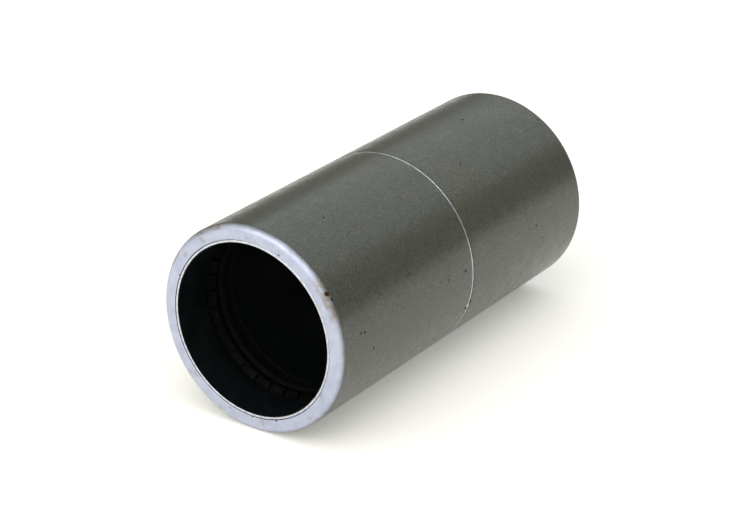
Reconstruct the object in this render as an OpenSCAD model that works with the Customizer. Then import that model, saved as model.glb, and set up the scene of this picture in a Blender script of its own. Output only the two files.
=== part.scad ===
// Straight push fit coupling for two pipes of one size.
// The bore runs along Y with the front mouth at -Y and the origin midway between the end faces.
// Every end piece is drawn once, for the front end, with its depth measured inward from the front
// face; the rear end is the same piece mirrored, but for its shorter half casing.

/* [Body] */
// Outside diameter of the sleeve
body_d = 48.8; // [48.4:0.1:50]
// Length from end face to end face
body_len = 102; // [92:1:130]
// Wall thickness of each half casing
shell_wall = 1.6; // [1.3:0.1:1.8]
// Width of the bright ring between the two half casings
centre_ring_w = 0.3; // [0.3:0.1:2]
// Depth of the middle of that ring, from the front end face
seam_depth = 52; // [46:0.5:58]

/* [Pipe] */
// Outside diameter of the pipe that pushes in
pipe_d = 40; // [38:0.5:40]
// Radial gap between the pipe and the release collar's bore
pipe_gap = 0.2; // [0.15:0.05:0.25]
// How far the centre stop stands in past the guide bores
stop_height = 2.7; // [1.5:0.1:4]
// Width of the centre stop
stop_w = 5; // [3:0.5:8]

/* [End ring] */
// Thickness of the end ring's head
head_t = 1.5; // [1.5:0.1:2]
// Rounding of the end ring's outer edge
edge_r = 1.4; // [0.8:0.1:1.4]
// Depth of the narrow bore that guides the release collar
ring_guide_depth = 5.5; // [5:0.1:6]

/* [Release collar] */
// How far the collar pushes in to free the pipe
collar_travel = 2; // [1:0.1:2]
// Wall thickness of the collar's neck and nose
collar_wall = 0.7; // [0.6:0.05:0.75]
// Thickness of the flange that keeps the collar in
flange_t = 1.5; // [1:0.1:1.5]
// Depth of the bright rim at the collar's mouth
rim_depth = 0.9; // [0.6:0.1:1.5]
// Wall thickness of the bright rim
rim_wall = 0.65; // [0.3:0.05:0.65]

/* [Grab ring] */
// Number of teeth
tooth_count = 32; // [20:1:36]
// Thickness of the spring steel
grab_t = 0.5; // [0.3:0.05:0.6]
// Angle of the teeth from the plane of the ring
tooth_tilt = 40; // [35:1:42]
// How far the tooth tips reach inside the pipe's surface
tooth_bite = 0.3; // [0.1:0.05:0.5]
// Width of the slots between the teeth
slot_w = 1.2; // [0.8:0.1:1.5]

/* [Seals] */
// Section diameter of the O-ring that seals on the pipe
pipe_seal_d = 2.6; // [2.4:0.1:2.7]
// Section diameter of the O-ring between core sleeve and casing
joint_seal_d = 1.2; // [1:0.1:1.3]
// Depth from the end face to that O-ring
joint_seal_depth = 24; // [23:1:30]

/* [Hidden] */
$fn = 96;

// Gaps between pieces
fit_gap = 0.03;
run_gap = 0.1;
free_gap = 0.3;

// Radii, from the pipe outward and from the outside inward
body_r = body_d / 2;
cavity_r = body_r - shell_wall;
inner_stack_r = cavity_r - fit_gap;
skirt_wall = 0.52;
skirt_r = inner_stack_r - skirt_wall;
pipe_r = pipe_d / 2;
collar_bore_r = pipe_r + pipe_gap;
neck_r = collar_bore_r + collar_wall;
ring_bore_r = neck_r + run_gap;
flange_r = skirt_r - free_gap;
guide_r = collar_bore_r + run_gap;
stop_r = guide_r - stop_height;
spacer_bore_r = neck_r + free_gap;
tip_r = pipe_r - tooth_bite;
tooth_root_r = spacer_bore_r + run_gap;

// Depths of the end pieces, each from the end face
half_len = body_len / 2;
rim_recess = 0.1;
flange_at = ring_guide_depth + run_gap;
ring_depth = flange_at + flange_t + collar_travel + run_gap;
seat_t = 2.3;
grab_at = ring_depth + seat_t;
nose_tip_r = neck_r - collar_wall / 2;
nose_end = grab_at + (tooth_root_r - nose_tip_r) * tan(tooth_tilt) - collar_travel - run_gap;
guard_at = grab_at + grab_t;
guard_t = 2.5;
gland_at = guard_at + guard_t;
gland_len = 3.3;
support_t = 1.5;
core_at = gland_at + gland_len + support_t;
mouth_chamfer = 0.15;
rim_round = 0.2;

// Puts a piece whose axis is +Z, starting at the end face, at the front end of the coupling
module front() {
  translate([0, -half_len, 0]) rotate([-90, 0, 0]) children();
}

// The same piece at the rear end
module rear() {
  mirror([0, 1, 0]) front() children();
}

// A ring turned from a flat section with x as radius and y as depth
module turned() {
  rotate_extrude() children();
}

// A rectangle of the section between two radii and two depths
module band(r0, r1, d0, d1) {
  translate([r0, d0]) square([r1 - r0, d1 - d0]);
}

// One half of the grey casing, a plain tube from the end ring's head to the centre ring
module shell(seam_at) {
  color("dimgray")
    turned() band(cavity_r, body_r, head_t, seam_at - centre_ring_w / 2);
}

// The thin bright ring between the two halves
module centre_ring() {
  color("gainsboro")
    turned() band(inner_stack_r + free_gap / 2, body_r,
                  seam_depth - centre_ring_w / 2, seam_depth + centre_ring_w / 2);
}

// Steel ring that closes the casing and guides the collar: a head with a rounded outer edge,
// a spigot inside the casing, and a thin skirt that clamps the grab ring's seat
module end_ring() {
  color("lightsteelblue")
    turned() {
      polygon([
        [ring_bore_r, mouth_chamfer],
        [ring_bore_r + mouth_chamfer, 0],
        [body_r - edge_r, 0],
        [body_r - edge_r, head_t],
        [ring_bore_r, head_t],
      ]);
      intersection() {
        translate([body_r - edge_r, edge_r]) circle(edge_r);
        band(ring_bore_r, body_r, 0, head_t);
      }
      band(body_r - edge_r, body_r, edge_r, head_t);
      band(ring_bore_r, inner_stack_r, head_t, ring_guide_depth);
      band(skirt_r, inner_stack_r, ring_guide_depth, ring_depth);
    }
}

// Bright metal rim bonded to the front of the release collar
module collar_rim() {
  color("silver")
    turned() {
      band(collar_bore_r, collar_bore_r + rim_wall - rim_round, rim_recess, rim_recess + rim_depth);
      band(collar_bore_r, collar_bore_r + rim_wall, rim_recess + rim_round, rim_recess + rim_depth);
      translate([collar_bore_r + rim_wall - rim_round, rim_recess + rim_round]) circle(rim_round);
    }
}

// Sliding collar: a neck in the end ring, a flange behind it, and a nose that opens the teeth
module release_collar() {
  color("black")
    turned() {
      band(collar_bore_r, neck_r, rim_recess + rim_depth, nose_end - collar_wall);
      band(collar_bore_r, flange_r, flange_at, flange_at + flange_t);
      polygon([
        [collar_bore_r, nose_end - collar_wall],
        [neck_r, nose_end - collar_wall],
        [neck_r, nose_end - collar_wall / 2],
        [nose_tip_r, nose_end],
        [collar_bore_r, nose_end],
      ]);
    }
}

// Ring between the end ring's skirt and the grab ring
module grab_ring_seat() {
  color("darkslategray")
    turned() band(spacer_bore_r, inner_stack_r, ring_depth, grab_at);
}

// Spring steel washer with teeth that slope inward and away from the mouth
module grab_ring() {
  drop = (tooth_root_r - tip_r) * tan(tooth_tilt);
  slope_t = grab_t / cos(tooth_tilt);
  color("darkgray")
    difference() {
      turned() polygon([
        [inner_stack_r, grab_at],
        [tooth_root_r, grab_at],
        [tip_r, grab_at + drop],
        [tip_r, grab_at + drop + slope_t],
        [tooth_root_r, guard_at],
        [inner_stack_r, guard_at],
      ]);
      for (i = [0 : tooth_count - 1])
        rotate([0, 0, i * 360 / tooth_count])
          translate([tip_r - 1, -slot_w / 2, grab_at - 1])
            cube([tooth_root_r + free_gap - tip_r + 1, slot_w, drop + slope_t + 2]);
    }
}

// Ring that keeps the teeth off the O-ring, with a bell mouth that leaves the teeth room to bend
module o_ring_guard() {
  color("dimgray")
    turned() polygon([
      [inner_stack_r, guard_at],
      [tooth_root_r + 2 * run_gap, guard_at],
      [guide_r + 2 * run_gap, gland_at - guard_t / 4],
      [guide_r + 2 * run_gap, gland_at],
      [inner_stack_r, gland_at],
    ]);
}

// Rubber ring that seals on the pipe
module pipe_o_ring() {
  color("black")
    turned() translate([skirt_r - fit_gap - pipe_seal_d / 2, gland_at + gland_len / 2])
      circle(d = pipe_seal_d);
}

// Ring that backs the O-ring
module support_ring() {
  color("dimgray")
    turned() band(guide_r, skirt_r - fit_gap, gland_at + gland_len, core_at);
}

// Rubber ring that seals the casing to the core sleeve
module joint_o_ring() {
  color("black")
    turned() translate([inner_stack_r - joint_seal_d / 2, joint_seal_depth])
      circle(d = joint_seal_d);
}

// Moulded sleeve that guides the pipe's end, with a gland skirt round the O-ring and an outside
// groove for the joint O-ring
module core_sleeve() {
  groove_w = joint_seal_d + 4 * run_gap;
  groove_r = inner_stack_r - joint_seal_d - fit_gap;
  color("black")
    difference() {
      turned() {
        band(skirt_r, inner_stack_r, gland_at, core_at);
        band(guide_r, inner_stack_r, core_at, half_len - stop_w / 2);
      }
      turned()
        band(groove_r, body_r, joint_seal_depth - groove_w / 2, joint_seal_depth + groove_w / 2);
    }
}

// Ring between the two core sleeves that both pipes stop against
module centre_stop() {
  color("black")
    turned() band(stop_r, inner_stack_r, half_len - stop_w / 2, half_len + stop_w / 2);
}

front() shell(seam_depth);  // front_shell
rear() shell(body_len - seam_depth);  // rear_shell
front() centre_ring();
front() centre_stop();
front() core_sleeve();  // front_core_sleeve
rear() core_sleeve();  // rear_core_sleeve
front() end_ring();  // front_end_ring
rear() end_ring();  // rear_end_ring
front() collar_rim();  // front_collar_rim
rear() collar_rim();  // rear_collar_rim
front() release_collar();  // front_release_collar
rear() release_collar();  // rear_release_collar
front() grab_ring_seat();  // front_grab_ring_seat
rear() grab_ring_seat();  // rear_grab_ring_seat
front() grab_ring();  // front_grab_ring
rear() grab_ring();  // rear_grab_ring
front() o_ring_guard();  // front_o_ring_guard
rear() o_ring_guard();  // rear_o_ring_guard
front() pipe_o_ring();  // front_pipe_o_ring
rear() pipe_o_ring();  // rear_pipe_o_ring
front() support_ring();  // front_support_ring
rear() support_ring();  // rear_support_ring
front() joint_o_ring();  // front_joint_o_ring
rear() joint_o_ring();  // rear_joint_o_ring
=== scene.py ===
"""Looks of a straight push fit coupling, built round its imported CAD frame. Units are metres."""

import math

import bpy
from mathutils import Matrix, Vector


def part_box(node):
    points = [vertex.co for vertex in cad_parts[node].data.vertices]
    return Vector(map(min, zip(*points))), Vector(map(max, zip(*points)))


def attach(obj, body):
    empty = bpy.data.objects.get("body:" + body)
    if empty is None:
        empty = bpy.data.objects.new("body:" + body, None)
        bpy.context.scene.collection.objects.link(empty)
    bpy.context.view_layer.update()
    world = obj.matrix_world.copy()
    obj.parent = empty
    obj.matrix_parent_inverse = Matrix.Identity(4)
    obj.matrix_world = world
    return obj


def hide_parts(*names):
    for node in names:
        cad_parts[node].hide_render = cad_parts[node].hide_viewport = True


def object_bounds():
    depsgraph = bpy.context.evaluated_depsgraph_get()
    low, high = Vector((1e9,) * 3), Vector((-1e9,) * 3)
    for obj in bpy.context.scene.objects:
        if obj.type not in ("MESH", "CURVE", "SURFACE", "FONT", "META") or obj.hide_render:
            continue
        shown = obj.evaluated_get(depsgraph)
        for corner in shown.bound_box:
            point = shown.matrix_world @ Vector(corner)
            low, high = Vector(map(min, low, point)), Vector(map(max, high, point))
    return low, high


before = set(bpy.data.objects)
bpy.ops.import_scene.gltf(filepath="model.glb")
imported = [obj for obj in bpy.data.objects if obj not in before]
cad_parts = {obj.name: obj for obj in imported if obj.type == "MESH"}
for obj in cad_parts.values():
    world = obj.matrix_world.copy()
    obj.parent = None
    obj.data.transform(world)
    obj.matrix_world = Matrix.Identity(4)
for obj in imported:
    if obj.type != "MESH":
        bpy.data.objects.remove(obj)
cad_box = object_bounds()

MM = 0.001
ENDS = ("front", "rear")


# ---------------------------------------------------------------- sizes, from the frame


def radii(node):
    """Smallest and largest distance of a CAD node's vertices from the bore axis, which is Y."""
    r = [math.hypot(v.co.x, v.co.z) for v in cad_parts[node].data.vertices]
    return min(r), max(r)


def depths(node):
    """Where a CAD node starts and ends, measured inward from the end face of its own end."""
    low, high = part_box(node)
    if node.startswith("rear_"):
        return HALF_LEN - high.y, HALF_LEN - low.y
    return HALF_LEN + low.y, HALF_LEN + high.y


def depths_at(node, radius):
    """Where the surface that a front CAD node has at this radius starts and ends."""
    points = [v.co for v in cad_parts[node].data.vertices]
    found = [HALF_LEN + p.y for p in points if abs(math.hypot(p.x, p.z) - radius) < 0.01 * MM]
    return min(found), max(found)


HALF_LEN = -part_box("front_end_ring")[0].y
CAVITY_R, BODY_R = radii("front_shell")
HEAD_T = depths("front_shell")[0]
SEAM_DEPTH = sum(depths("centre_ring")) / 2
RING_BORE_R = radii("front_end_ring")[0]
RING_END = depths("front_end_ring")[1]
GUIDE_END = depths_at("front_end_ring", RING_BORE_R)[1]
COLLAR_BORE_R, FLANGE_R = radii("front_release_collar")
FLANGE_AT, FLANGE_END = depths_at("front_release_collar", FLANGE_R)
RIM_R = radii("front_collar_rim")[1]
RIM_AT, RIM_END = depths("front_collar_rim")
NOSE_END = depths("front_release_collar")[1]
SEAT_R, STACK_R = radii("front_grab_ring_seat")
GRAB_AT = depths("front_grab_ring")[0]
GUARD_AT, GLAND_AT = depths("front_o_ring_guard")
SUPPORT_AT, CORE_AT = depths("front_support_ring")
GUIDE_R, SKIRT_R = radii("front_support_ring")
CORE_END = depths("front_core_sleeve")[1]
STOP_R = radii("centre_stop")[0]

# Gaps between fixed pieces and between sliding ones, and the radii that follow from them
FIT_GAP, RUN_GAP = 0.03 * MM, 0.1 * MM
SKIRT_IN_R = SKIRT_R + FIT_GAP
NECK_R = RING_BORE_R - RUN_GAP

# Roundings of edges: only broken, eased, and the rolled outer edge of an end face
BROKEN, EASED = 0.1 * MM, 0.15 * MM
EDGE_IN, EDGE_DOWN = 2.0 * MM, 1.48 * MM

# How much larger the lip is than its CAD node, and the collar's lining inside it, near black as
# painted shade in the bore
LIP_SWELL = 0.05 * MM
LINING = 0.16 * MM
LINING_AT = RIM_AT + 0.12 * MM

# The fine groove behind the centre ring
SEAM_GROOVE = 0.2 * MM

# The small knock in the centre ring: its place round the sleeve, its half width, how far it
# reaches along the casings, how deep it dents them, and the burr that it raises on the ring
NICK_ANGLE = math.radians(-19)
NICK_HALF = math.radians(1.6)
NICK_REACH = 0.8 * MM
NICK_DENT = 0.10 * MM
BURR_HEIGHT, BURR_SPREAD = 0.04 * MM, 0.28 * MM


# ---------------------------------------------------------------- turned parts


def rounded(corners, steps=6):
    """A closed outline from (radius, depth, rounding) corners, with an arc at each rounded one."""
    points, n = [], len(corners)
    for i, (r, d, rounding) in enumerate(corners):
        here = Vector((r, d))
        before = Vector(corners[i - 1][:2]) - here
        after = Vector(corners[(i + 1) % n][:2]) - here
        if rounding <= 0:
            points.append(here)
            continue
        turn = before.angle(after)
        along = min(rounding / math.tan(turn / 2), before.length * 0.49, after.length * 0.49)
        start, end = here + before.normalized() * along, here + after.normalized() * along
        centre = here + (before.normalized() + after.normalized()).normalized() * (
            along / math.cos(turn / 2)
        )
        a, b = start - centre, end - centre
        sweep = a.angle_signed(b)
        for k in range(steps + 1):
            points.append(centre + Matrix.Rotation(-sweep * k / steps, 2) @ a)
    return points


def rolled_edge(radius, inward, down, steps=14):
    """The quarter ellipse of an end face's outer edge, as corners without rounding."""
    corners = []
    for k in range(steps + 1):
        a = math.pi / 2 * k / steps
        corners.append((radius - inward * (1 - math.sin(a)), down * (1 - math.cos(a)), 0.0))
    return corners


def split_long(points, longest):
    """The same outline with its long straight stretches cut into shorter ones."""
    out = []
    for i, p in enumerate(points):
        q = points[(i + 1) % len(points)]
        cuts = max(1, math.ceil((q - p).length / longest))
        out += [p.lerp(q, k / cuts) for k in range(cuts)]
    return out


def round_angles(count=288, dense_at=None, dense_half=0.0, dense_count=48):
    """Angles round the axis, with extra ones where there is a small detail."""
    angles = {round(2 * math.pi * k / count, 9) for k in range(count)}
    if dense_at is not None:
        for k in range(dense_count + 1):
            a = dense_at + dense_half * (2 * k / dense_count - 1)
            angles.add(round(a % (2 * math.pi), 9))
    return sorted(angles)


def turned(name, corners, end="front", angles=None, shape=None, longest=4 * MM):
    """A ring lathed from a section given as radius and depth from the end face.

    shape(radius, depth, angle) may return a changed radius and depth, for dents.
    """
    section = split_long(rounded(corners), longest)
    angles = angles or round_angles()
    sign = -1 if end == "front" else 1
    verts = []
    for a in angles:
        for r, d in section:
            r2, d2 = shape(r, d, a) if shape else (r, d)
            verts.append((r2 * math.cos(a), sign * (HALF_LEN - d2), r2 * math.sin(a)))
    n, m = len(section), len(angles)
    faces = []
    for j in range(m):
        k = (j + 1) % m
        for i in range(n):
            h = (i + 1) % n
            faces.append((j * n + i, j * n + h, k * n + h, k * n + i))
    mesh = bpy.data.meshes.new(name)
    mesh.from_pydata(verts, [], faces)
    mesh.validate()
    face_outward(mesh)
    return finish_mesh(name, mesh)


def face_outward(mesh):
    """Turns every face the same way, outward, by the sign of the closed mesh's volume."""
    volume = 0.0
    for polygon in mesh.polygons:
        a, b, c, *rest = [mesh.vertices[i].co for i in polygon.vertices]
        volume += a.dot(b.cross(c))
        if rest:
            volume += a.dot(c.cross(rest[0]))
    if volume < 0:
        mesh.flip_normals()


def finish_mesh(name, mesh, sharp=35):
    """Links the mesh as an object with smooth shading between its sharp edges."""
    mesh.shade_smooth()
    mesh.set_sharp_from_angle(angle=math.radians(sharp))
    piece = bpy.data.objects.new(name, mesh)
    bpy.context.scene.collection.objects.link(piece)
    return piece


def place(piece, body, node, material):
    """Lets a piece ride on its body in place of its CAD node."""
    piece.data.materials.append(material)
    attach(piece, body)
    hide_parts(node)


# ---------------------------------------------------------------- procedural materials


class Shader:
    """A material's node tree, with short calls for the nodes that the finishes share.

    A noise scale is per metre, so 1000 gives a grain of about a millimetre.
    """

    def __init__(self, name, color, roughness, metallic=0.0, specular=0.5):
        self.material = bpy.data.materials.new(name)
        self.material.use_nodes = True
        self.tree = self.material.node_tree
        self.surface = self.tree.nodes["Principled BSDF"]
        self.set("Base Color", (*color, 1.0))
        self.set("Roughness", roughness)
        self.set("Metallic", metallic)
        self.set("Specular IOR Level", specular)
        self.point = self.node("ShaderNodeTexCoord").outputs["Object"]

    def node(self, kind, inputs=None, **settings):
        made = self.tree.nodes.new(kind)
        for key, value in settings.items():
            setattr(made, key, value)
        for key, value in (inputs or {}).items():
            self.put(made.inputs[key], value)
        return made

    def put(self, socket, value):
        if isinstance(value, bpy.types.NodeSocket):
            self.tree.links.new(value, socket)
        else:
            socket.default_value = value

    def set(self, name, value):
        self.put(self.surface.inputs[name], value)

    def stretched(self, x, y, z):
        """The point, with each axis scaled, so that noise drawn from it is stretched."""
        return self.node("ShaderNodeMapping", {"Vector": self.point, "Scale": (x, y, z)}).outputs[0]

    def noise(self, scale, detail=3.0, roughness=0.55, at=None, distortion=0.0):
        found = self.node(
            "ShaderNodeTexNoise",
            {
                "Vector": at or self.point,
                "Scale": scale,
                "Detail": detail,
                "Roughness": roughness,
                "Distortion": distortion,
            },
        )
        return found.outputs["Fac"]

    def math(self, operation, a, b=0.0):
        return self.node("ShaderNodeMath", {0: a, 1: b}, operation=operation).outputs[0]

    def vector(self, operation, a, b=(0.0, 0.0, 0.0)):
        return self.node("ShaderNodeVectorMath", {0: a, 1: b}, operation=operation).outputs

    def coordinate(self, axis):
        """The point's X, Y or Z."""
        return self.node("ShaderNodeSeparateXYZ", {0: self.point}).outputs[axis]

    def ramp(self, value, low, high, out_low=0.0, out_high=1.0):
        """A value mapped smoothly from one range to another."""
        return self.node(
            "ShaderNodeMapRange",
            {
                "Value": value,
                "From Min": low,
                "From Max": high,
                "To Min": out_low,
                "To Max": out_high,
            },
            interpolation_type="SMOOTHSTEP",
        ).outputs["Result"]

    def mix(self, amount, a, b):
        """Colour a, changed to colour b by amount."""
        made = self.node("ShaderNodeMix", data_type="RGBA")
        for index, value in ((0, amount), (6, a), (7, b)):
            if isinstance(value, tuple):
                value = (*value, 1.0)
            self.put(made.inputs[index], value)
        return made.outputs[2]

    def spoke(self):
        """The part of the point that is square to the bore axis."""
        return self.vector("MULTIPLY", self.point, (1.0, 0.0, 1.0))["Vector"]

    def radius(self):
        """Distance from the bore axis."""
        return self.vector("LENGTH", self.spoke())["Value"]

    def turn_from(self, angle):
        """How far round the axis the point is from that angle in degrees, in radians."""
        a = math.radians(angle)
        unit = self.vector("NORMALIZE", self.spoke())["Vector"]
        along = self.vector("DOT_PRODUCT", unit, (math.cos(a), 0.0, math.sin(a)))["Value"]
        return self.math("ARCCOSINE", along)

    def end_depth(self):
        """Depth from the nearer end face."""
        return self.math("SUBTRACT", HALF_LEN, self.math("ABSOLUTE", self.coordinate("Y")))

    def spot(self, point, reach):
        """One within that reach of a point on the object, with a ragged edge."""
        gap = self.vector("DISTANCE", self.point, point)["Value"]
        ragged = self.ramp(self.noise(2600, 2), 0.2, 0.8, 0.65 * reach, 1.25 * reach)
        return self.ramp(self.math("DIVIDE", gap, ragged), 0.8, 1.1, 1.0, 0.0)

    def grains(self, scale, inner, outer):
        """Scattered round grains that fade between two sizes, and a random number for each."""
        cells = self.node("ShaderNodeTexVoronoi", {"Vector": self.point, "Scale": scale})
        own = self.node("ShaderNodeSeparateColor", {0: cells.outputs["Color"]}).outputs[0]
        return self.ramp(cells.outputs["Distance"], inner, outer, 1.0, 0.0), own

    def bump(self, height, distance, strength=1.0, under=None):
        inputs = {"Height": height, "Distance": distance, "Strength": strength}
        if under is not None:
            inputs["Normal"] = under
        return self.node("ShaderNodeBump", inputs).outputs[0]


def on_sleeve(angle, depth, radius=BODY_R):
    """A point on the sleeve, by its angle from +X towards +Z and its depth from the front face."""
    a = math.radians(angle)
    return (radius * math.cos(a), depth - HALF_LEN, radius * math.sin(a))


COAT = (0.046, 0.050, 0.034)
COAT_COOL = (0.041, 0.048, 0.039)
COAT_WARM = (0.060, 0.055, 0.031)
COAT_PALE = (0.072, 0.077, 0.056)
COAT_DEEP = (0.027, 0.031, 0.023)
SPECK = (0.006, 0.005, 0.004)
STEEL = (0.445, 0.477, 0.605)
STEEL_LIGHT = (0.555, 0.583, 0.695)
STEEL_DARK = (0.36, 0.40, 0.51)
STAIN = (0.285, 0.255, 0.235)
RUST = (0.034, 0.021, 0.014)
EDGE_STEEL, EDGE_WORN = (0.66, 0.68, 0.72), (0.44, 0.46, 0.50)
# The inner parts below are near black, far darker than real acetal, rubber or blackened steel:
# painted shade for the unlit bore
ACETAL_PAINTED_SHADE, MOULDING_PAINTED_SHADE = (0.0020, 0.0032, 0.0036), (0.0012, 0.0012, 0.0012)
RUBBER_PAINTED_SHADE, RUBBER_BLOOM_PAINTED_SHADE = (0.0015, 0.0015, 0.0016), (0.003, 0.003, 0.003)
SPRING_PAINTED_SHADE, SPRING_RUBBED_PAINTED_SHADE = (0.0035, 0.0035, 0.004), (0.008, 0.008, 0.009)

# Chips beside the knock: degrees round from it, mm along from the seam, and size in mm
CHIPS = ((-1.0, -0.75, 0.42), (2.3, 0.45, 0.48), (-4.5, -0.6, 0.28))

# Smears on the front face: angle and half width in degrees, and mm in from the outer edge
SMEARS = ((31, 17, 1.9), (118, 14, 1.3), (152, 9, 1.1), (221, 12, 1.3))
SMEAR_FADE = 0.7

# Where the coating starts on the end ring, and where it is whole, in depth from the end face
COAT_FROM, COAT_WHOLE = 0.12 * MM, 1.42 * MM


def coat_color(s):
    """The grey coating's colour: faint clouds, axial draw lines, warm tints and a fine grain."""
    clouds = s.ramp(s.noise(55, 4), 0.30, 0.72)
    color = s.mix(clouds, COAT, COAT_COOL)
    draw_lines = s.ramp(s.noise(900, 2, at=s.stretched(1, 0.02, 1)), 0.35, 0.75)
    color = s.mix(s.math("MULTIPLY", draw_lines, 0.28), color, COAT_WARM)
    tints = s.ramp(s.noise(140, 2, distortion=0.4), 0.66, 0.80)
    color = s.mix(s.math("MULTIPLY", tints, 0.35), color, COAT_WARM)
    grain = s.noise(2300, 3, 0.7)
    color = s.mix(s.ramp(grain, 0.50, 0.70, 0.0, 0.95), color, COAT_PALE)
    return s.mix(s.ramp(grain, 0.30, 0.50, 0.95, 0.0), color, COAT_DEEP)


def specks(s):
    """A mask of sparse dark specks a few tenths of a millimetre across."""
    grains, own = s.grains(230, 0.060, 0.085)
    return s.math("MULTIPLY", grains, s.ramp(own, 0.52, 0.54))


def coat_material():
    """Satin grey coating over drawn tube."""
    s = Shader("satin_grey_coating", COAT, 0.3, specular=0.6)
    marks = s.math("MAXIMUM", chip_mask(s), specks(s))
    s.set("Base Color", s.mix(marks, coat_color(s), SPECK))
    gloss = s.ramp(s.noise(2300, 3, 0.7), 0.25, 0.75, 0.34, 0.84)
    s.set("Specular IOR Level", s.math("MULTIPLY", gloss, s.math("SUBTRACT", 1.0, marks)))
    s.set("Roughness", s.ramp(s.noise(320, 3), 0.25, 0.75, 0.25, 0.35))
    peel = s.bump(s.noise(1500, 2), 0.006 * MM, 0.5)
    draw = s.bump(s.noise(1600, 2, at=s.stretched(1, 0.015, 1)), 0.005 * MM, 0.5, under=peel)
    s.set("Normal", draw)
    return s.material


def chip_mask(s):
    """Chipped coating either side of the knock in the centre ring."""
    mask = None
    for turn, along, reach in CHIPS:
        centre = on_sleeve(math.degrees(NICK_ANGLE) + turn, SEAM_DEPTH + along * MM)
        spot = s.spot(centre, reach * MM)
        mask = spot if mask is None else s.math("MAXIMUM", mask, spot)
    return mask


def ring_material():
    """Turned steel face that takes the grey coating over its rounded outer edge."""
    s = Shader("turned_steel_face", STEEL, 0.34, metallic=1.0)
    radius = s.radius()
    rings = s.node("ShaderNodeCombineXYZ", {0: s.math("MULTIPLY", radius, 9000)}).outputs[0]
    lathe_lines = s.noise(1.0, 3, at=rings)
    mottle = s.ramp(s.noise(420, 4), 0.30, 0.72)
    bright = s.mix(s.math("MULTIPLY", mottle, 0.75), STEEL, STEEL_LIGHT)
    bright = s.mix(s.ramp(lathe_lines, 0.3, 0.7, 0.0, 0.25), bright, STEEL_DARK)
    bright = s.mix(stain_mask(s), bright, STAIN)
    bright = s.mix(dirt_mask(s, radius), bright, RUST)
    ragged = s.ramp(s.noise(500, 3), 0.2, 0.8, -0.12 * MM, 0.12 * MM)
    coated = s.ramp(s.math("ADD", s.end_depth(), ragged), COAT_FROM, COAT_WHOLE)
    rust = rust_mask(s)
    s.set("Base Color", s.mix(rust, s.mix(coated, bright, coat_color(s)), RUST))
    s.set("Metallic", s.math("SUBTRACT", 1.0, s.math("MAXIMUM", coated, rust)))
    s.set("Specular IOR Level", s.math("MULTIPLY", s.math("SUBTRACT", 1.0, rust), 0.62))
    s.set("Roughness", s.ramp(s.noise(700, 3), 0.25, 0.75, 0.28, 0.42))
    fine = s.bump(lathe_lines, 0.006 * MM, 0.6)
    s.set("Normal", s.bump(s.noise(900, 3), 0.010 * MM, 0.45, under=fine))
    return s.material


def stain_mask(s):
    """Dull brownish smears at the outer edge of the front face, and faint patches all over it."""
    front = s.math("LESS_THAN", s.coordinate("Y"), 0.0)
    broken = s.ramp(s.noise(520, 5, 0.7), 0.34, 0.62, 0.15, 1.0)
    smears = s.ramp(s.noise(250, 3), 0.60, 0.72, 0.0, 0.7)
    for angle, half, inner in SMEARS:
        smear = s.math(
            "MULTIPLY",
            s.ramp(s.turn_from(angle), math.radians(half * 0.45), math.radians(half), 1.0, 0.0),
            s.ramp(s.radius(), BODY_R - inner * MM, BODY_R - (inner - SMEAR_FADE) * MM),
        )
        smears = s.math("MAXIMUM", smears, smear)
    return s.math("MULTIPLY", s.math("MULTIPLY", smears, broken), front)


def rust_mask(s):
    """A small rusty chip where the coating starts."""
    return s.math(
        "MAXIMUM",
        s.spot(on_sleeve(34.5, 0.9 * MM, BODY_R - 0.3 * MM), 0.60 * MM),
        s.spot(on_sleeve(31, 1.25 * MM), 0.38 * MM),
    )


def dirt_mask(s, radius):
    """Small dark grains caught at the inner edge of the face."""
    grains, own = s.grains(420, 0.07, 0.16)
    edge = s.ramp(radius, RING_BORE_R + 0.5 * MM, RING_BORE_R + 1.2 * MM, 0.8, 0.0)
    return s.math("MULTIPLY", s.math("MULTIPLY", grains, s.ramp(own, 0.34, 0.38)), edge)


def bright_material():
    """Bright rolled steel of the centre ring and the collar's rim."""
    s = Shader("bright_steel_edge", EDGE_STEEL, 0.28, metallic=1.0)
    worn = s.ramp(s.noise(900, 3), 0.35, 0.75)
    s.set("Base Color", s.mix(worn, EDGE_STEEL, EDGE_WORN))
    s.set("Roughness", s.ramp(s.noise(1300, 2), 0.3, 0.7, 0.22, 0.40))
    s.set("Normal", s.bump(s.noise(2500, 2), 0.005 * MM, 0.5))
    return s.material


def moulded_material(name, color, roughness, grain_scale):
    """Moulded plastic with a fine grain and slight sheen changes."""
    s = Shader(name, color, roughness, specular=0.12)
    lighter = tuple(min(1.0, c * 1.9) for c in color)
    s.set("Base Color", s.mix(s.ramp(s.noise(260, 4), 0.35, 0.75), color, lighter))
    s.set("Roughness", s.ramp(s.noise(600, 3), 0.3, 0.7, roughness - 0.06, roughness + 0.08))
    s.set("Normal", s.bump(s.noise(grain_scale, 3), 0.006 * MM, 0.5))
    return s.material


def rubber_material():
    """Matte seal rubber with a dusty bloom, near black as painted shade in the bore."""
    s = Shader("seal_rubber", RUBBER_PAINTED_SHADE, 0.7, specular=0.08)
    bloom = s.ramp(s.noise(500, 4), 0.45, 0.85)
    s.set("Base Color", s.mix(bloom, RUBBER_PAINTED_SHADE, RUBBER_BLOOM_PAINTED_SHADE))
    s.set("Roughness", s.ramp(s.noise(900, 2), 0.3, 0.7, 0.62, 0.80))
    s.set("Normal", s.bump(s.noise(2200, 3), 0.008 * MM, 0.5))
    return s.material


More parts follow.
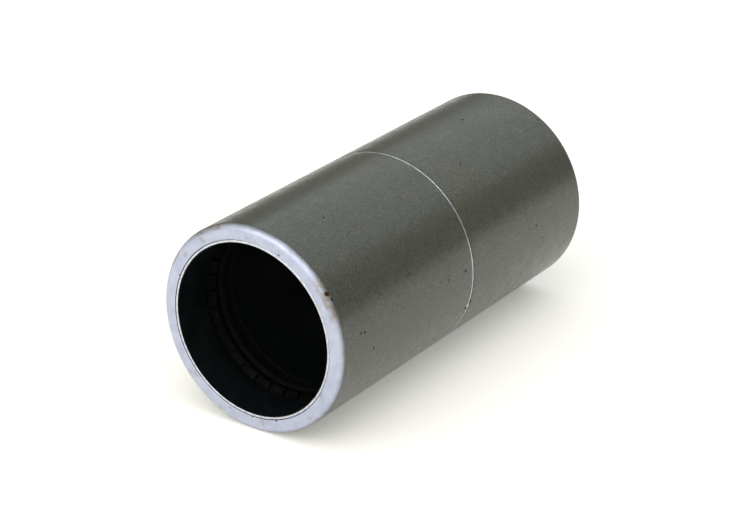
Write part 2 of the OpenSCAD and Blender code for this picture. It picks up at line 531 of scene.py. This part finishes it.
def spring_material():
    """Blackened spring steel with brighter rubbed spots, near black as painted shade in the bore."""
    s = Shader("blackened_spring_steel_painted_shade", SPRING_PAINTED_SHADE, 0.5, metallic=1.0)
    rubbed = s.ramp(s.noise(700, 4), 0.50, 0.78)
    s.set("Base Color", s.mix(rubbed, SPRING_PAINTED_SHADE, SPRING_RUBBED_PAINTED_SHADE))
    s.set("Roughness", s.ramp(s.noise(1200, 2), 0.3, 0.7, 0.44, 0.60))
    s.set("Normal", s.bump(s.noise(2600, 2), 0.004 * MM, 0.5))
    return s.material


# ---------------------------------------------------------------- the pieces


def knock(seam_at, dent, spread=0.0):
    """A shape function for the knock at the seam: pushes in by dent, smears apart by spread."""

    def shape(r, d, a):
        gap = (a - NICK_ANGLE + math.pi) % (2 * math.pi) - math.pi
        if abs(gap) > NICK_HALF or r < CAVITY_R:
            return r, d
        across = math.cos(gap / NICK_HALF * math.pi / 2) ** 2
        along = max(0.0, 1 - abs(d - seam_at) / NICK_REACH)
        return r - dent * across * along, d + math.copysign(spread * across, d - seam_at)

    return shape


def knock_angles():
    return round_angles(dense_at=NICK_ANGLE, dense_half=NICK_HALF * 1.2)


def make_casing(end, coat):
    """One half casing: a tube with broken edges. The rear one leaves a fine groove at the seam."""
    seam_at = depths(f"{end}_shell")[1] - (SEAM_GROOVE if end == "rear" else 0.0)
    corners = [
        (CAVITY_R, HEAD_T, BROKEN),
        (BODY_R, HEAD_T, 0.0),
        (BODY_R, seam_at, BROKEN),
        (CAVITY_R, seam_at, BROKEN),
    ]
    dent = knock(seam_at, NICK_DENT)
    piece = turned(f"{end}_casing", corners, end, knock_angles(), dent, 2 * MM)
    place(piece, "casing", f"{end}_shell", coat)


def make_centre_band(bright):
    """The hair-thin bright ring, with a crowned outside and its knock."""
    low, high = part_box("centre_ring")
    inner, outer = radii("centre_ring")
    start, stop = HALF_LEN + low.y, HALF_LEN + high.y
    crown = 0.08 * MM
    corners = [
        (inner, start, 0.04 * MM),
        (outer, start, crown),
        (outer, stop, crown),
        (inner, stop, 0.04 * MM),
    ]
    burr = knock(SEAM_DEPTH, -BURR_HEIGHT, BURR_SPREAD)
    piece = turned("centre_band", corners, "front", knock_angles(), burr)
    place(piece, "casing", "centre_ring", bright)


def make_face_ring(end, steel):
    """The end ring: rounded head, spigot and skirt, in one turned section."""
    corners = [
        (RING_BORE_R, 0, 0.12 * MM),
        *rolled_edge(BODY_R, EDGE_IN, EDGE_DOWN),
        (BODY_R, HEAD_T, 0.0),
        (STACK_R, HEAD_T, 0.05 * MM),
        (STACK_R, RING_END, BROKEN),
        (SKIRT_IN_R, RING_END, BROKEN),
        (SKIRT_IN_R, GUIDE_END, BROKEN),
        (RING_BORE_R, GUIDE_END, BROKEN),
    ]
    piece = turned(f"{end}_face_ring", corners, end, longest=0.8 * MM)
    place(piece, "casing", f"{end}_end_ring", steel)


def make_rim(end, bright):
    """The bright lip on the release collar, outside the collar's thin lining."""
    inner, outer = COLLAR_BORE_R + LINING, RIM_R + LIP_SWELL
    corners = [
        (inner, RIM_AT, 0.12 * MM),
        (outer, RIM_AT, 0.18 * MM),
        (outer, RIM_END, 0.0),
        (inner, RIM_END, 0.0),
    ]
    piece = turned(f"{end}_lip", corners, end)
    place(piece, f"{end}_collar", f"{end}_collar_rim", bright)


def make_collar(end, plastic):
    """The release collar: lining inside the lip, neck, flange and chamfered nose."""
    chamfer = 0.35 * MM
    corners = [
        (COLLAR_BORE_R, LINING_AT, 0.08 * MM),
        (COLLAR_BORE_R + LINING, LINING_AT, 0.0),
        (COLLAR_BORE_R + LINING, RIM_END, 0.0),
        (NECK_R, RIM_END, 0.08 * MM),
        (NECK_R, FLANGE_AT, 0.12 * MM),
        (FLANGE_R, FLANGE_AT, EASED),
        (FLANGE_R, FLANGE_END, EASED),
        (NECK_R, FLANGE_END, EASED),
        (NECK_R, NOSE_END - chamfer, BROKEN),
        (NECK_R - chamfer, NOSE_END, BROKEN),
        (COLLAR_BORE_R, NOSE_END, 0.12 * MM),
    ]
    piece = turned(f"{end}_collar_sleeve", corners, end, longest=1 * MM)
    place(piece, f"{end}_collar", f"{end}_release_collar", plastic)


def make_rings(end, dark, plastic, rubber):
    """The turned rings inside one end: seat, guard, support ring, core sleeve and seals."""
    bell_r = SEAT_R + 3 * RUN_GAP
    throat_r = GUIDE_R + 2 * RUN_GAP
    throat_at = GLAND_AT - (GLAND_AT - GUARD_AT) / 4
    seat = [
        (SEAT_R, RING_END, EASED),
        (STACK_R, RING_END, BROKEN),
        (STACK_R, GRAB_AT, BROKEN),
        (SEAT_R, GRAB_AT, BROKEN),
    ]
    guard = [
        (STACK_R, GUARD_AT, BROKEN),
        (bell_r, GUARD_AT, BROKEN),
        (throat_r, throat_at, 0.2 * MM),
        (throat_r, GLAND_AT, BROKEN),
        (STACK_R, GLAND_AT, BROKEN),
    ]
    support = [
        (GUIDE_R, SUPPORT_AT, EASED),
        (SKIRT_R, SUPPORT_AT, BROKEN),
        (SKIRT_R, CORE_AT, BROKEN),
        (GUIDE_R, CORE_AT, EASED),
    ]
    sections = {"grab_ring_seat": seat, "o_ring_guard": guard, "support_ring": support}
    for node, corners in sections.items():
        piece = turned(f"{end}_{node}_turned", corners, end)
        place(piece, "casing", f"{end}_{node}", dark)
    make_core(end, plastic)
    for node in ("pipe_o_ring", "joint_o_ring"):
        piece = make_o_ring(end, node)
        place(piece, "casing", f"{end}_{node}", rubber)


def make_core(end, plastic):
    """The core sleeve, with its gland skirt and the groove for the joint O-ring."""
    groove_r = radii("front_joint_o_ring")[0] - FIT_GAP
    low, high = depths("front_joint_o_ring")
    groove_at, groove_end = low - 2 * RUN_GAP, high + 2 * RUN_GAP
    corners = [
        (SKIRT_IN_R, GLAND_AT, BROKEN),
        (STACK_R, GLAND_AT, BROKEN),
        (STACK_R, groove_at, BROKEN),
        (groove_r, groove_at, 0.12 * MM),
        (groove_r, groove_end, 0.12 * MM),
        (STACK_R, groove_end, BROKEN),
        (STACK_R, CORE_END, BROKEN),
        (GUIDE_R, CORE_END, 0.3 * MM),
        (GUIDE_R, CORE_AT, 0.3 * MM),
        (SKIRT_IN_R, CORE_AT, BROKEN),
    ]
    piece = turned(f"{end}_guide_sleeve", corners, end)
    place(piece, "casing", f"{end}_core_sleeve", plastic)


def make_o_ring(end, node):
    """A rubber ring with the fine raised line that its mould leaves."""
    inner, outer = radii(f"front_{node}")
    low, high = depths(f"front_{node}")
    centre_r, centre_d, section = (inner + outer) / 2, (low + high) / 2, (high - low) / 2
    line = 0.03 * MM
    corners = []
    count = 40
    seams = (count // 4, 3 * count // 4)
    for k in range(count):
        a = 2 * math.pi * k / count
        size = section if k in seams else section - line
        corners.append((centre_r + size * math.cos(a), centre_d + size * math.sin(a), 0.0))
    return turned(f"{end}_{node}_moulded", corners, end)


def make_stop(plastic):
    """The ring that both pipes stop against."""
    low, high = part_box("centre_stop")
    start, stop = HALF_LEN + low.y, HALF_LEN + high.y
    corners = [
        (STOP_R, start, 0.5 * MM),
        (STACK_R, start, BROKEN),
        (STACK_R, stop, BROKEN),
        (STOP_R, stop, 0.5 * MM),
    ]
    piece = turned("centre_stop_turned", corners, "front")
    place(piece, "casing", "centre_stop", plastic)


def finish_grab_ring(end, spring):
    """The CAD grab ring is right as it is, so it stays and takes its finish."""
    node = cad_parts[f"{end}_grab_ring"]
    for index in range(len(node.data.materials)):
        node.data.materials[index] = spring


def build_coupling():
    coat, steel, bright = coat_material(), ring_material(), bright_material()
    # The acetal, the moulding, the rubber and the spring steel inside are near black as painted
    # shade in the bore
    plastic = moulded_material("black_acetal_painted_shade", ACETAL_PAINTED_SHADE, 0.5, 1500)
    dark = moulded_material("moulding_painted_shade", MOULDING_PAINTED_SHADE, 0.65, 1100)
    rubber, spring = rubber_material(), spring_material()
    make_centre_band(bright)
    make_stop(plastic)
    for end in ENDS:
        make_casing(end, coat)
        make_face_ring(end, steel)
        make_rim(end, bright)
        make_collar(end, plastic)
        make_rings(end, dark, plastic, rubber)
        finish_grab_ring(end, spring)


# ---------------------------------------------------------------- floor, light and camera


FLOOR_RADIUS, FLOOR_SIDES = 3.0, 96
FLOOR_COLOR = (0.90, 0.892, 0.860)
FLOOR_GLOW, FLOOR_GLOW_COLOR = 0.23, (1.0, 0.99, 0.95)

# The room's brightness by the direction's Z and by its Y: from, to, brightness at each
ROOM_UPWARD = (0.0, 0.80, 0.19, 0.54)
ROOM_FORWARD = (0.50, -0.45, 0.0, 0.65)
ROOM_COLOR = (1.0, 0.995, 0.96)

# The camera's direction in degrees and lens in mm, and how far the coupling's middle lies from
# it along and across its line of sight, in sleeve radii
VIEW_AZIMUTH, VIEW_ELEVATION = 34.4, 24.04
LENS, SENSOR = 108.8, 36
VIEW_AWAY, VIEW_ACROSS, VIEW_ABOVE = 21.744, 0.0727, 0.0933


def make_floor():
    """A plain white disc of floor, just under the sleeve, that glows a little to lift its shadow."""
    angles = [2 * math.pi * k / FLOOR_SIDES for k in range(FLOOR_SIDES)]
    ring = [(FLOOR_RADIUS * math.cos(a), FLOOR_RADIUS * math.sin(a), 0) for a in angles]
    mesh = bpy.data.meshes.new("floor")
    mesh.from_pydata(ring, [], [tuple(range(FLOOR_SIDES))])
    floor = bpy.data.objects.new("floor", mesh)
    floor.location.z = cad_box[0][2]
    bpy.context.scene.collection.objects.link(floor)
    s = Shader("white_floor", FLOOR_COLOR, 0.9, specular=0.1)
    s.set("Emission Color", (*FLOOR_GLOW_COLOR, 1.0))
    s.set("Emission Strength", FLOOR_GLOW)
    mesh.materials.append(s.material)


def softbox(name, towards, distance, size, radiance, color):
    """A large rectangular light in a direction from the coupling, facing it."""
    light = bpy.data.lights.new(name, "AREA")
    light.shape = "RECTANGLE"
    light.size, light.size_y = size
    light.energy, light.color = radiance * math.pi * size[0] * size[1], color
    lamp = bpy.data.objects.new(name, light)
    lamp.location = Vector(towards).normalized() * distance
    lamp.rotation_euler = (-lamp.location).to_track_quat("-Z", "Y").to_euler()
    bpy.context.scene.collection.objects.link(lamp)


def make_light():
    """Soft studio light: boxes in front, overhead and behind, in a room that is dim at the back."""
    softbox(
        "front_box", towards=(-0.10, -0.87, 0.46), distance=1.6,
        size=(2.0, 1.3), radiance=1.08, color=(1.0, 0.99, 0.96),
    )
    softbox(
        "top_box", towards=(0.30, -0.25, 0.92), distance=1.6,
        size=(1.3, 1.3), radiance=0.95, color=(1.0, 1.0, 0.98),
    )
    softbox(
        "back_box", towards=(-0.06, 0.75, 0.63), distance=1.5,
        size=(1.8, 0.9), radiance=0.67, color=(0.90, 0.96, 1.0),
    )
    world = bpy.data.worlds.new("studio")
    world.use_nodes = True
    tree = world.node_tree
    towards = tree.nodes.new("ShaderNodeSeparateXYZ")
    tree.links.new(tree.nodes.new("ShaderNodeTexCoord").outputs["Generated"], towards.inputs[0])
    upward = world_ramp(tree, towards.outputs["Z"], *ROOM_UPWARD)
    forward = world_ramp(tree, towards.outputs["Y"], *ROOM_FORWARD)
    total = tree.nodes.new("ShaderNodeMath")
    tree.links.new(upward, total.inputs[0])
    tree.links.new(forward, total.inputs[1])
    backdrop = tree.nodes["Background"]
    backdrop.inputs["Color"].default_value = (*ROOM_COLOR, 1.0)
    tree.links.new(total.outputs[0], backdrop.inputs["Strength"])
    bpy.context.scene.world = world
    bpy.context.scene.view_settings.view_transform = "Standard"


def world_ramp(tree, value, low, high, out_low, out_high):
    """A value mapped smoothly from one range to another, for the room's brightness."""
    ramp = tree.nodes.new("ShaderNodeMapRange")
    ramp.interpolation_type = "SMOOTHSTEP"
    limits = zip(("From Min", "From Max", "To Min", "To Max"), (low, high, out_low, out_high))
    for name, limit in limits:
        ramp.inputs[name].default_value = limit
    tree.links.new(value, ramp.inputs["Value"])
    return ramp.outputs["Result"]


def make_camera():
    """A long lens, up and to the right of the front mouth."""
    azimuth, elevation = math.radians(VIEW_AZIMUTH), math.radians(VIEW_ELEVATION)
    right = Vector((math.cos(azimuth), math.sin(azimuth), 0))
    back = Vector((
        math.sin(azimuth) * math.cos(elevation),
        -math.cos(azimuth) * math.cos(elevation),
        math.sin(elevation),
    ))
    up = back.cross(right)
    camera_data = bpy.data.cameras.new("camera")
    camera_data.lens, camera_data.sensor_width = LENS, SENSOR
    camera = bpy.data.objects.new("camera", camera_data)
    camera.matrix_world = Matrix((
        (right.x, up.x, back.x, 0),
        (right.y, up.y, back.y, 0),
        (right.z, up.z, back.z, 0),
        (0, 0, 0, 1),
    ))
    camera.location = (back * VIEW_AWAY - right * VIEW_ACROSS - up * VIEW_ABOVE) * BODY_R
    bpy.context.scene.collection.objects.link(camera)
    bpy.context.scene.camera = camera


make_camera()
make_light()
make_floor()
build_coupling()
